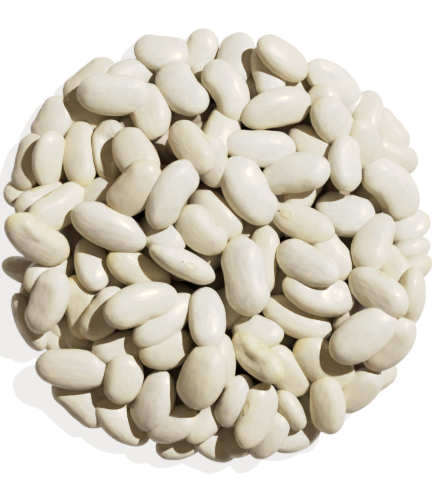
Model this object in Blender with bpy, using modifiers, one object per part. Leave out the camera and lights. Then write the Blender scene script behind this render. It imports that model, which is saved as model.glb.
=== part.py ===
"""A round, loose heap of dried white kidney beans that lies on a flat surface.

The heap is one solid: a low turned core, with the beans that show fused onto it at their true size.
A first course of beans is spread in rings, a second fills its hollows, and the beans that lie on top are
laid out by hand. A rule then lets each bean down until it rests on what is already there.
Metres, +Z up, origin on the surface under the middle of the heap.
"""

import math
from dataclasses import dataclass

import bmesh
import bpy
import numpy as np
from mathutils import Matrix, Vector

MM = 0.001

# The core that carries the beans
CORE_RADIUS = 41 * MM
CORE_HEIGHT = 12 * MM
CORE_RIM_HEIGHT = 2.5 * MM
CORE_SIDES = 24
CORE_STEPS = 4

# One bean: its width and thickness are shares of its length
COMMON_LENGTHS = (15.5 * MM, 18.5 * MM)
WIDTH_SHARE = 0.57
THICKNESS_SHARE = 0.45
THICKNESS_TO_WIDTH = 0.74
ON_SIDE_WIDTH = 7.8 * MM
ON_SIDE_HEIGHT = 9.2 * MM
KIDNEY_BEND_SHARE = 0.07
KIDNEY_BALANCE = 1 / 3
BEAN_SIDES = 6
BEAN_RINGS = 5
FACET_ALLOWANCE = 1.06
BLUNTNESS = 0.8
POLE_GIRTH = 0.01

# How a bean comes to rest: how far it may tip and roll, and how deep it presses into the others
TIP_ANGLES = (-24, -16, -8, 0, 8, 16, 24)
ROLL_ANGLES = (-30, -20, -10, 0, 10, 20, 30)
SHARE_IN_TOUCH = 0.22
PRESS_DEPTH = 0.4 * MM
DEEPEST_PRESS = 3.5 * MM
GRID_STEP = 0.5 * MM
GRID_HALF = 64 * MM
REACH = 12 * MM

# Courses spread by rule: the radius of each ring, and the space along it for one bean
FIRST_RINGS = (0, 12 * MM, 23 * MM, 33.5 * MM)
SECOND_RINGS = (6 * MM, 16 * MM, 26 * MM)
BEAN_SPACING = 14 * MM
RING_SCATTER = 1.2 * MM
RIM_RADIUS = 30 * MM
RIM_TURN_SPREAD = 35
SEED = 11

# Beans laid out by hand, the lowest first: x, y in mm, turn in degrees, length and width in mm.
# The hollow side of a bean's kidney curve is on the left of its turn.
LAID_BEANS = (
    # glimpses between the others
    (-31, 40, 37, 15, 7),
    (-46, 13, 5, 12, 6.5),
    (-46, -5.5, 345, 13, 7.5),
    (-13.5, 3, 330, 13, 8.5),
    (-28, 13, 30, 14, 8.5),
    (-39, -21, 300, 13, 8),
    (-23.5, -24, 10, 14, 8.5),
    (-9, -47, 20, 13, 8),
    (18.5, -45, 20, 14, 8.5),
    (36.5, -31, 12, 14, 8.5),
    (1, -27.5, 95, 14, 6.5),
    (41, 28, 305, 13, 8.5),
    # low ones
    (-40, 30.5, 58, 13, 7.5),
    (-45.5, 20.5, 75, 15, 6.5),
    (-21, 40.5, 192, 14.5, 9.5),
    (-40.5, 21, 268, 14.5, 6.5),
    (-26.5, 23, 95, 16.5, 8.5),
    (-5, 46, 65, 14.5, 8.5),
    (-16.5, 32.5, 105, 14.5, 10),
    (0.5, 27.5, 70, 15, 9),
    (9, 38, 330, 13, 8.5),
    (12, 42, 100, 13, 8.5),
    (18.5, 38, 318, 15, 9),
    (35.5, 31.5, 80, 14, 8.5),
    (42, 22, 335, 14, 8.5),
    (22.5, 24, 320, 14.5, 8.5),
    (44, 5, 10, 15, 6.5),
    (45, -1, 20, 13, 7),
    (45.5, -5.5, 25, 13, 7.5),
    (42, -5, 300, 13, 8.5),
    (46, -12, 85, 15, 7.5),
    (-42, 11, 20, 15, 8.5),
    (-40.5, -6, 30, 15, 9),
    (-45.5, -18, 295, 15.5, 7),
    (-32, -36.5, 140, 15, 9),
    (-1, -46.5, 325, 14, 9),
    (-3.5, -41.5, 60, 13.5, 8.5),
    (41, -23, 50, 17, 9.5),
    (33.5, -34.5, 43, 15, 8.5),
    (31.5, -15.5, 55, 13, 7),
    # middle ones, about half covered
    (-1.5, 20.5, 285, 14, 8.5),
    (-19.5, 22, 300, 15.5, 10),
    (-20, 14, 50, 17, 10),
    (-13.5, 47, 352, 14, 7.5),
    (1.5, 38, 287, 15.5, 9.5),
    (15.5, 45.5, 322, 15, 8.5),
    (28, 39, 140, 17.5, 8.5),
    (28, 30, 305, 14.5, 9.5),
    (25.5, 33.5, 90, 13, 8.5),
    (35, 24.5, 100, 14, 8.5),
    (41.5, 14, 130, 18.5, 11),
    (10, 24, 355, 17.5, 9),
    (30.5, 8, 345, 15, 10.5),
    (-0.5, 8, 320, 15, 9),
    (11, -3.5, 264, 18, 8.5),
    (-38.5, 9.5, 35, 17, 9.5),
    (-33, -14.5, 100, 16.5, 9),
    (-30, -4, 280, 14.5, 8.5),
    (-27.5, -16, 58, 15, 9),
    (-23, -42, 320, 16.5, 9),
    (-11, -42.5, 20, 14, 9),
    (-12.5, -24.5, 20, 13.5, 9.5),
    (9.5, -20, 345, 13.5, 8.5),
    (16.5, -29.5, 310, 16, 9),
    (4, -37, 68, 14.5, 6.5),
    (17.5, -39, 298, 12, 6.5),
    (12, -45, 55, 14.5, 8.5),
    (27.5, -2, 305, 14, 8.5),
    (19, -17, 335, 18, 8.5),
    (-6, 24, 308, 15.5, 9),
    # high ones, nearly whole
    (4, 45, 80, 15, 10),
    (14, 33, 195, 18, 10),
    (-33, 22.5, 273, 18, 7.5),
    (-8.5, 38, 312, 16, 10.5),
    (18.5, 17.5, 190, 17.5, 10),
    (30.5, 20, 272, 14, 8.5),
    (20.5, 6, 337, 16.5, 8.5),
    (-4, 4, 315, 14.5, 10),
    (6, -7, 100, 19.5, 10),
    (-19, -5.5, 335, 17, 8.5),
    (-13, -17.5, 40, 18, 8.5),
    (-35, -29, 355, 18.5, 10),
    (-4, -31, 68, 17, 11.5),
    (25.5, -28, 320, 17.5, 10.5),
    (24, -11, 343, 18, 10),
    (37.5, 1, 250, 16, 10),
    # topmost ones, whole
    (-25, 37, 358, 18, 10.5),
    (-11, 12.5, 240, 18.5, 10),
    (7.5, 13.5, 302, 18.5, 11),
    (-26, 5, 335, 19.5, 10.5),
    (-43.5, 2, 325, 18.5, 10),
    (-41, -13, 68, 17, 9.5),
    (-8.5, -3.5, 333, 18.5, 7.5),
    (-3, -17, 95, 16, 9),
    (-23, -31.5, 78, 13, 9.5),
    (-15.5, -37, 65, 16.5, 10),
    (9.5, -26.5, 318, 17, 8.5),
    (9, -40.5, 70, 17, 9),
    (21.5, -4, 333, 17.5, 9.5),
    (38.5, -10.5, 325, 17.5, 10),
    (35, -21.5, 215, 18.5, 11),
    (26, -38, 95, 15.5, 9),
    (-18.5, -14, 197, 19, 10),
)

# Looks in plain colours
BEAN_COLOUR = (0.80, 0.74, 0.62, 1.0)
BEAN_ROUGHNESS = 0.42


@dataclass
class Bean:
    """One bean: where its middle is, its three sizes, and how it is turned, tipped and rolled, in degrees."""

    x: float
    y: float
    turn: float
    length: float
    width: float
    thickness: float
    z: float = 0.0
    tip: float = 0.0
    roll: float = 0.0

    def rotation(self):
        """The bean's rotation, from its own frame to the heap's."""
        turned = Matrix.Rotation(math.radians(self.turn), 3, "Z")
        tipped = Matrix.Rotation(math.radians(self.tip), 3, "Y")
        rolled = Matrix.Rotation(math.radians(self.roll), 3, "X")
        return turned @ tipped @ rolled

    def bend(self, along):
        """How far the kidney curve moves a point sideways, at a distance along the bean."""
        return KIDNEY_BEND_SHARE * self.length * ((2 * along / self.length) ** 2 - KIDNEY_BALANCE)


class Ground:
    """The height of what already lies there, on a square grid."""

    def __init__(self):
        self.axis = np.arange(-GRID_HALF, GRID_HALF + GRID_STEP / 2, GRID_STEP)
        self.height = np.zeros((len(self.axis), len(self.axis)))

    def window(self, bean):
        """The part of the grid round a bean, as two slices."""
        near_x = np.flatnonzero(np.abs(self.axis - bean.x) < REACH)
        near_y = np.flatnonzero(np.abs(self.axis - bean.y) < REACH)
        return slice(near_x[0], near_x[-1] + 1), slice(near_y[0], near_y[-1] + 1)

    def shells(self, bean, columns, rows):
        """Heights of the bean's under side and top above its middle, and where on that part it lies."""
        east, north = np.meshgrid(self.axis[columns] - bean.x, self.axis[rows] - bean.y, indexing="ij")
        turn = math.radians(bean.turn)
        along = east * math.cos(turn) + north * math.sin(turn)
        across = -east * math.sin(turn) + north * math.cos(turn) - bean.bend(along)
        level = Bean(0, 0, 0, bean.length, bean.width, bean.thickness, 0, bean.tip, bean.roll)
        turned = np.array(level.rotation())
        sizes = np.diag([4 / bean.length**2, 4 / bean.width**2, 4 / bean.thickness**2])
        form = turned @ sizes @ turned.T
        slope = form[0, 2] * along + form[1, 2] * across
        plan = form[0, 0] * along**2 + 2 * form[0, 1] * along * across + form[1, 1] * across**2
        room = slope**2 - form[2, 2] * (plan - 1)
        inside = room > 0
        depth = np.sqrt(np.where(inside, room, 0))
        return (-slope - depth) / form[2, 2], (-slope + depth) / form[2, 2], inside

    def let_down(self, bean):
        """Tips and rolls the bean to where it sinks lowest, rests it there, and adds it to the ground."""
        columns, rows = self.window(bean)
        here = self.height[columns, rows]
        lowest = None
        for tip in TIP_ANGLES:
            for roll in ROLL_ANGLES:
                bean.tip, bean.roll = tip, roll
                under, top, inside = self.shells(bean, columns, rows)
                touch = np.sort((here - under)[inside])
                soft = touch[int(len(touch) * (1 - SHARE_IN_TOUCH))] - PRESS_DEPTH
                z = max(soft, touch[-1] - DEEPEST_PRESS, -under[inside].min())
                if lowest is None or z < lowest[0]:
                    lowest = (z, tip, roll, top, inside)
        bean.z, bean.tip, bean.roll, top, inside = lowest
        here[inside] = np.maximum(here, bean.z + top)[inside]


def ring_beans(rings, draw):
    """Beans spread evenly along rings, each with a size and turn of its own. Those at the rim follow it."""
    beans = []
    for radius in rings:
        count = max(1, int(2 * math.pi * radius / BEAN_SPACING))
        start = draw.uniform(0, 2 * math.pi)
        for place in range(count):
            angle = start + 2 * math.pi * place / count
            out = radius + draw.uniform(-RING_SCATTER, RING_SCATTER)
            turn = draw.uniform(0, 360)
            if radius > RIM_RADIUS:
                turn = math.degrees(angle) + 90 + draw.uniform(-RIM_TURN_SPREAD, RIM_TURN_SPREAD)
            length = draw.uniform(*COMMON_LENGTHS)
            width, thickness = length * WIDTH_SHARE, length * THICKNESS_SHARE
            beans.append(Bean(out * math.cos(angle), out * math.sin(angle), turn, length, width, thickness))
    return beans


def laid_beans():
    """The beans laid out by hand. One that shows little width lies on its side, and so stands higher."""
    beans = []
    for x, y, turn, length, width in LAID_BEANS:
        on_side = width * MM < ON_SIDE_WIDTH
        thickness = ON_SIDE_HEIGHT if on_side else width * MM * THICKNESS_TO_WIDTH
        beans.append(Bean(x * MM, y * MM, turn, length * MM, width * MM, thickness))
    return beans


def rested_beans():
    """Every bean of the heap, let down one after the other."""
    draw = np.random.default_rng(SEED)
    beans = ring_beans(FIRST_RINGS, draw)
    beans += ring_beans(SECOND_RINGS, draw)
    beans += laid_beans()
    ground = Ground()
    for bean in beans:
        ground.let_down(bean)
    return beans


def bean_material():
    """The pale skin of the beans."""
    material = bpy.data.materials.new("bean_skin")
    material.use_nodes = True
    shader = material.node_tree.nodes["Principled BSDF"]
    shader.inputs["Base Color"].default_value = BEAN_COLOUR
    shader.inputs["Roughness"].default_value = BEAN_ROUGHNESS
    shader.inputs["Metallic"].default_value = 0.0
    return material


def bean_point(unit, bean):
    """Where a point of the unit sphere lies on a bean with blunt ends, curved and set down."""
    girth = math.hypot(unit.y, unit.z)
    fuller = FACET_ALLOWANCE * girth ** (BLUNTNESS - 1) if girth > POLE_GIRTH else 0.0
    along = unit.x * bean.length / 2
    across = unit.y * bean.width / 2 * fuller + bean.bend(along)
    up = unit.z * bean.thickness / 2 * fuller
    return bean.rotation() @ Vector((along, across, up)) + Vector((bean.x, bean.y, bean.z))


def bean_object(name, bean, collection):
    """A bean with few sides: a sphere with its poles along X, shaped by bean_point, kept off the floor."""
    shape = bmesh.new()
    pole_to_x = Matrix.Rotation(math.radians(90), 4, "Y")
    bmesh.ops.create_uvsphere(shape, u_segments=BEAN_SIDES, v_segments=BEAN_RINGS, radius=1, matrix=pole_to_x)
    for vertex in shape.verts:
        vertex.co = bean_point(vertex.co, bean)
    lowest = min(vertex.co.z for vertex in shape.verts)
    bmesh.ops.translate(shape, verts=shape.verts, vec=(0, 0, max(0.0, -lowest)))
    mesh = bpy.data.meshes.new(name)
    shape.to_mesh(mesh)
    shape.free()
    collection.objects.link(bpy.data.objects.new(name, mesh))


def core_object(collection):
    """The core: a flat-bottomed low dome with a short upright rim, turned about Z."""
    profile = []
    for step in range(CORE_STEPS + 1):
        share = step / CORE_STEPS
        height = CORE_RIM_HEIGHT + (CORE_HEIGHT - CORE_RIM_HEIGHT) * (1 - share**2)
        profile.append((CORE_RADIUS * share, height))
    profile += [(CORE_RADIUS, 0), (0, 0)]
    mesh = bpy.data.meshes.new("bean_heap")
    points = [(radius, 0, height) for radius, height in profile]
    mesh.from_pydata(points, [(n, n + 1) for n in range(len(points) - 1)], [])
    core = bpy.data.objects.new("bean_heap", mesh)
    collection.objects.link(core)
    turn = core.modifiers.new("turn", "SCREW")
    turn.steps = turn.render_steps = CORE_SIDES
    turn.use_merge_vertices = True
    turn.merge_threshold = 0.0001
    turn.use_smooth_shade = False
    return core


def apply_modifiers(target):
    """Gives the object the mesh that its modifiers make."""
    graph = bpy.context.evaluated_depsgraph_get()
    made = bpy.data.meshes.new_from_object(target.evaluated_get(graph))
    target.modifiers.clear()
    target.data = made


def fuse(core, pieces):
    """Joins the pieces of a collection onto the core by one union, and removes them."""
    union = core.modifiers.new("fuse", "BOOLEAN")
    union.operation = "UNION"
    union.operand_type = "COLLECTION"
    union.collection = pieces
    union.solver = "MANIFOLD"
    apply_modifiers(core)
    for piece in list(pieces.objects):
        bpy.data.objects.remove(piece)
    bpy.data.collections.remove(pieces)


def islands(shape):
    """The faces of a mesh, grouped by what hangs together."""
    left = set(shape.faces)
    groups = []
    while left:
        reached = [left.pop()]
        group = []
        while reached:
            face = reached.pop()
            group.append(face)
            for edge in face.edges:
                for other in edge.link_faces:
                    if other in left:
                        left.remove(other)
                        reached.append(other)
        groups.append(group)
    return groups


def keep_outer_body(target):
    """Fills the hollows that the union sealed, and drops loose scraps: the largest outside stays."""
    shape = bmesh.new()
    shape.from_mesh(target.data)
    bmesh.ops.triangulate(shape, faces=shape.faces)
    groups = sorted(islands(shape), key=len)
    for group in groups[:-1]:
        bmesh.ops.delete(shape, geom=group, context="FACES")
    shape.to_mesh(target.data)
    shape.free()


def main():
    """Builds the heap."""
    for left_over in list(bpy.data.objects):
        bpy.data.objects.remove(left_over)
    heap = bpy.data.collections.new("heap_of_dried_beans")
    bpy.context.scene.collection.children.link(heap)
    loose = bpy.data.collections.new("loose_beans")
    bpy.context.scene.collection.children.link(loose)

    core = core_object(heap)
    apply_modifiers(core)
    for number, bean in enumerate(rested_beans()):
        bean_object(f"bean_{number}", bean, loose)
    fuse(core, loose)
    keep_outer_body(core)
    core.data.materials.append(bean_material())
    core.data.shade_flat()


if __name__ == "__main__":
    main()
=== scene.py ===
"""Looks for a loose, round heap of dried white kidney beans, seen straight down in clear, slanting light.

The heap's beans are let down one after the other by the same rule as in the part, so each one lies about
where its solid lies. A few more are tucked in deep, where the others leave a gap. Every kind of bean is
modelled once as a mould and copied to its places, and all beans of a kind are one piece. Where a bean lies
deep among the others, its colour is mixed towards a painted brown shade. A dark core inside the heap,
coloured as painted shadow, stands for the depth between them.
"""

import logging
import math
from dataclasses import dataclass, field
from enum import Enum

import bpy
import numpy as np
from mathutils import Matrix, Vector


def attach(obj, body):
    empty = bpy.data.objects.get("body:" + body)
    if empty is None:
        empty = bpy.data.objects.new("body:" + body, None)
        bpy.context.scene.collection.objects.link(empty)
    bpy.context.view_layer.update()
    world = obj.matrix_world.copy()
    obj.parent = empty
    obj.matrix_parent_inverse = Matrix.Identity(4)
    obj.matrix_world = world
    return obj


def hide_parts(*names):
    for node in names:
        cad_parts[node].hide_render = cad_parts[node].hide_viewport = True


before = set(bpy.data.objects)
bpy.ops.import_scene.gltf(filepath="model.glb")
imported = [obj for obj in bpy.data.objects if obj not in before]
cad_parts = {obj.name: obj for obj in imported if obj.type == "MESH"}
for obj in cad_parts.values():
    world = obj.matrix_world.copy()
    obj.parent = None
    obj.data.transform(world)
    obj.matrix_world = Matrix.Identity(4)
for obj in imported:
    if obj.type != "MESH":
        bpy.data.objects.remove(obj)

LOG = logging.getLogger("bean_heap")
MM = 0.001

Colour = tuple[float, float, float, float]


def srgb(red: int, green: int, blue: int) -> Colour:
    """Turns a colour seen on a screen into the linear one that a shader takes.

    Args:
        red: Red from 0 to 255.
        green: Green from 0 to 255.
        blue: Blue from 0 to 255.

    Returns:
        The linear colour with full alpha.
    """
    parts = [value / 255 for value in (red, green, blue)]
    linear = [part / 12.92 if part <= 0.04045 else ((part + 0.055) / 1.055) ** 2.4 for part in parts]
    return (linear[0], linear[1], linear[2], 1.0)


class Kind(Enum):
    """The kinds of bean in the heap. Each value is the name of its piece."""

    PLUMP = "beans_plump"
    BROAD = "beans_broad"
    TAPERED = "beans_tapered"
    EGG = "bean_egg_shaped"
    HOOKED = "beans_hooked"
    WAISTED = "beans_waisted"
    NOTCHED = "beans_notched"
    ON_EDGE = "beans_on_edge"
    ON_SHOULDER = "beans_on_shoulder"
    ON_BACK = "beans_on_back"
    PINCHED = "bean_pinched"
    CRESTED = "bean_crested"
    SHRIVELLED = "bean_shrivelled"


COMMON_KINDS = (Kind.PLUMP, Kind.BROAD, Kind.TAPERED)
SCAR_DOWN_KINDS = (Kind.ON_EDGE, Kind.CRESTED, Kind.SHRIVELLED, Kind.PINCHED)


class Way(Enum):
    """Which way round a bean lies: with its bigger end ahead in its turn, or behind."""

    AHEAD = "bigger end ahead"
    BEHIND = "bigger end behind"


class Lie(Enum):
    """How far a bean may tip and roll as it comes to rest, in degrees each way."""

    FREE = (24, 30)
    LEVEL = (8, 10)
    ON_BACK = (24, 0)


class Tint(Enum):
    """Tones that some of the laid beans have. Each value is warmth, yellowness and end stain, from 0 to 1."""

    WHITE = (0.05, 0.0, 0.1)
    CREAM = (0.75, 0.35, 0.5)
    TAN = (1.0, 0.6, 0.6)
    YELLOW = (0.5, 1.0, 1.0)
    GREENISH = (0.2, 1.0, 0.7)


# Beans laid out, the lowest first: x, y in mm, turn in degrees, length and width in mm. Some have a
# kind, a way round, a lie or a tint of their own, or say how far along their scar is, in shares of half their
# length. The hollow side of the kidney curve is on the left of the turn.
LAID_BEANS = (
    # glimpses between the others
    (-31, 40, 37, 15, 7),
    (-46, 13, 5, 12, 6.5),
    (-46, -5.5, 345, 13, 7.5),
    (-13.5, 3, 330, 13, 8.5),
    (-28, 13, 30, 14, 8.5),
    (-39, -21, 300, 13, 8),
    (-23.5, -24, 10, 14, 8.5),
    (-9, -47, 20, 13, 8),
    (18.5, -45, 20, 14, 8.5),
    (36.5, -31, 12, 14, 8.5),
    (1, -27.5, 95, 14, 6.5),
    (41, 28, 305, 13, 8.5),
    # low ones
    (-40, 30.5, 58, 13, 7.5),
    (-45.5, 20.5, 75, 15, 6.5, Way.AHEAD),
    (-21, 40.5, 192, 14.5, 9.5),
    (-40.5, 21, 268, 14.5, 6.5, Way.AHEAD),
    (-26.5, 23, 95, 16.5, 8.5, Kind.PINCHED, Tint.CREAM),
    (-5, 46, 65, 14.5, 8.5),
    (-16.5, 32.5, 105, 14.5, 10),
    (0.5, 27.5, 70, 15, 9),
    (9, 38, 330, 13, 8.5),
    (18.5, 38, 318, 15, 9),
    (35.5, 31.5, 80, 14, 8.5),
    (42, 22, 335, 14, 8.5),
    (22.5, 24, 320, 14.5, 8.5, Tint.TAN),
    (44, 5, 10, 15, 6.5),
    (45, -1, 20, 13, 7),
    (45.5, -5.5, 25, 13, 7.5),
    (42, -5, 300, 13, 8.5),
    (46, -12, 85, 15, 7.5),
    (-42, 11, 20, 15, 8.5),
    (-40.5, -6, 30, 15, 9),
    (-45.5, -18, 295, 15.5, 7),
    (-33, -37, 140, 17, 10, Lie.LEVEL),
    (-1, -46.5, 325, 14, 9),
    (-3.5, -41.5, 60, 13.5, 8.5),
    (41, -23, 50, 17, 9.5),
    (33.5, -34.5, 43, 15, 8.5),
    (31.5, -15.5, 55, 13, 7),
    # middle ones, about half covered
    (-1.5, 20.5, 285, 14, 8.5),
    (-19.5, 22, 300, 15.5, 10),
    (-20, 14, 50, 17, 10, Kind.PLUMP, Way.BEHIND, Tint.TAN),
    (-13.5, 47, 352, 14, 7.5),
    (4, 45, 80, 15, 10),
    (12, 42, 100, 15, 8.5),
    (2, 37.5, 118, 16.5, 9.5, Kind.HOOKED, Way.AHEAD),
    (15.5, 45.5, 322, 15, 8.5),
    (28, 39, 140, 17.5, 8.5, Kind.ON_SHOULDER, Tint.WHITE),
    (25.5, 33.5, 90, 13, 8.5),
    (28, 30, 305, 14.5, 9.5),
    (35, 24.5, 100, 14, 8.5, Tint.CREAM),
    (41.5, 14, 130, 18.5, 11, Kind.HOOKED, Way.BEHIND),
    (10, 24, 355, 17.5, 9, Kind.TAPERED, Way.AHEAD, Tint.WHITE),
    (30.5, 8, 345, 15, 10.5, Kind.NOTCHED, Way.AHEAD, Tint.WHITE),
    (-0.5, 8, 316, 16, 10, Kind.EGG, Way.AHEAD, Tint.CREAM),
    (11, -3.5, 264, 18, 8.5),
    (-38.5, 9.5, 35, 17, 9.5),
    (-33, -14.5, 100, 16.5, 9, Tint.YELLOW),
    (-30, -4, 280, 14.5, 8.5),
    (-27.5, -16, 58, 15, 9),
    (-23, -42, 320, 16.5, 9),
    (-11, -42.5, 20, 14, 9),
    (-12.5, -24.5, 20, 13.5, 9.5),
    (9.5, -20, 345, 13.5, 8.5),
    (16.5, -29.5, 310, 16, 9),
    (4, -37, 68, 14.5, 7.4, Kind.TAPERED),
    (17.5, -39, 298, 12, 6.5),
    (12, -45, 55, 14.5, 8.5),
    (27.5, -2, 305, 14, 8.5),
    (19, -17, 335, 18, 8.5),
    (-6, 24, 308, 15.5, 9),
    # high ones, nearly whole
    (14, 33, 195, 18, 10, Kind.TAPERED, Way.BEHIND),
    (-33, 22.5, 273, 18, 8.6, Kind.TAPERED, Way.AHEAD),
    (-8.5, 38, 312, 16, 10.5, Kind.HOOKED, Way.BEHIND, Tint.WHITE),
    (18.5, 17.5, 190, 17.5, 10, Kind.PLUMP, Way.BEHIND, Tint.WHITE),
    (30.5, 20, 272, 14, 8.5, Kind.PLUMP, Way.AHEAD),
    (20.5, 6, 337, 16.5, 8.5, Kind.ON_BACK, Way.AHEAD, Tint.CREAM, -0.5),
    (-4, 4, 315, 14.5, 10, Kind.NOTCHED, Way.BEHIND, Tint.CREAM),
    (6, -7, 100, 19.5, 11.2, Kind.WAISTED, Way.BEHIND, Tint.WHITE),
    (-19, -5.5, 335, 17, 8.5, Kind.TAPERED, Way.BEHIND, Tint.YELLOW),
    (-13, -17.5, 40, 18, 8.5),
    (-35, -29, 355, 18.5, 10, Kind.BROAD, Way.AHEAD, Lie.LEVEL),
    (-4, -31, 68, 17, 11.5, Kind.BROAD, Way.BEHIND),
    (25.5, -28, 320, 17.5, 10.5, Kind.PLUMP, Way.BEHIND, Tint.YELLOW),
    (24, -11, 343, 18, 10, Kind.PLUMP, Way.AHEAD),
    (37.5, 1, 250, 16, 10, Kind.TAPERED, Way.AHEAD),
    # topmost ones, whole
    (-25, 37, 358, 18, 10.5, Kind.BROAD, Way.BEHIND, Tint.WHITE),
    (-11, 12.5, 240, 18.5, 10, Kind.HOOKED, Way.BEHIND, Tint.WHITE),
    (7.5, 13.5, 302, 18.5, 11, Kind.PLUMP, Way.BEHIND, Tint.WHITE),
    (-26, 5, 335, 19.5, 10.5, Kind.EGG, Way.BEHIND, Tint.WHITE),
    (-43.5, 2, 325, 18.5, 10, Kind.CRESTED, Tint.YELLOW, -0.15),
    (-41, -13, 68, 17, 9.5, Kind.PLUMP, Way.AHEAD),
    (-8.5, -3.5, 333, 18.5, 6.7, Kind.ON_BACK, Way.AHEAD, 0.05),
    (-3, -17, 95, 16, 9, Kind.BROAD, Way.BEHIND, Tint.WHITE),
    (-23, -31.5, 78, 13, 9.5, Kind.BROAD, Way.AHEAD, Tint.CREAM, Lie.LEVEL),
    (-15.5, -37, 65, 16.5, 10, Kind.TAPERED, Way.BEHIND, Tint.WHITE),
    (9.5, -26.5, 318, 17, 8.5, Kind.SHRIVELLED, Tint.YELLOW),
    (9, -40.5, 70, 17, 9, Kind.ON_SHOULDER, Way.AHEAD, Tint.CREAM, 0.2),
    (21.5, -4, 333, 17.5, 9.5, Kind.TAPERED, Way.BEHIND, Tint.WHITE),
    (38.5, -10.5, 325, 17.5, 10, Kind.BROAD, Way.AHEAD),
    (35, -21.5, 215, 18.5, 11, Kind.EGG, Way.AHEAD, Lie.LEVEL),
    (26, -38, 95, 15.5, 9, Kind.BROAD, Way.BEHIND, Tint.GREENISH),
    (-18.5, -14, 197, 19, 10, Kind.NOTCHED, Way.AHEAD),
)

# Beans tucked in deep, where the others leave a gap: x, y in mm, turn in degrees, length, width and the
# height of the middle in mm.
TUCKED_BEANS = (
    (-30.5, 32, 343, 17, 9.5, 4),
    (-36, 26.5, 60, 12, 8, 3.5),
    (31.5, 32.5, 60, 12, 8, 4),
    (-3.5, 40.5, 100, 13, 8, 4),
    (22, 41, 20, 13, 8, 4),
    (21.5, 31.5, 100, 13, 8, 4),
    (-13, 23, 120, 14, 9, 6),
    (36.5, 12, 50, 14, 9, 4),
    (-32.5, -24, 120, 14, 8.5, 4),
    (21, -37.5, 75, 13, 8, 4),
    (-37, 18, 80, 14, 8, 4),
    (-9.5, -37, 90, 13, 8, 4),
    (-44.5, -10.5, 80, 12, 7.5, 3.5),
    (-24.5, -35, 150, 15, 9, 4),
    (-36.5, -17.5, 60, 12, 8, 4),
    (3.5, -43, 60, 12, 7.5, 4),
    (5.5, -46.5, 20, 12, 8, 4),
    (13.5, -34, 20, 12, 8, 4),
)


@dataclass
class Bean:
    """One bean: where its middle is, its three sizes, and how it is turned, tipped and rolled, in degrees."""

    x: float
    y: float
    turn: float
    length: float
    width: float
    thickness: float
    kind: Kind | None = None
    way: Way | None = None
    tint: Tint | None = None
    scar: float | None = None
    lie: Lie = Lie.FREE
    z: float = 0.0
    tip: float = 0.0
    roll: float = 0.0

    KIDNEY_BEND_SHARE = 0.07
    KIDNEY_BALANCE = 1 / 3

    def rotation(self) -> Matrix:
        """Works out how the bean is turned.

        Returns:
            The rotation from the bean's own frame to the heap's.
        """
        turned = Matrix.Rotation(math.radians(self.turn), 3, "Z")
        tipped = Matrix.Rotation(math.radians(self.tip), 3, "Y")
        rolled = Matrix.Rotation(math.radians(self.roll), 3, "X")
        return turned @ tipped @ rolled

    def bend(self, along: np.ndarray | float) -> np.ndarray | float:
        """Returns how far the kidney curve moves a point sideways, at a distance along the bean."""
        return self.KIDNEY_BEND_SHARE * self.length * ((2 * along / self.length) ** 2 - self.KIDNEY_BALANCE)

    def placing(self) -> Matrix:
        """Works out where the bean's mould goes.

        Returns:
            The matrix that puts a mould of unit size in the bean's place, at the bean's size.
        """
        sizes = Matrix.Diagonal((self.length, self.width, self.thickness, 1))
        shift = Matrix.Translation((0, self.bend(0), 0))
        place = Matrix.Translation((self.x, self.y, self.z))
        return place @ self.rotation().to_4x4() @ shift @ sizes


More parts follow.
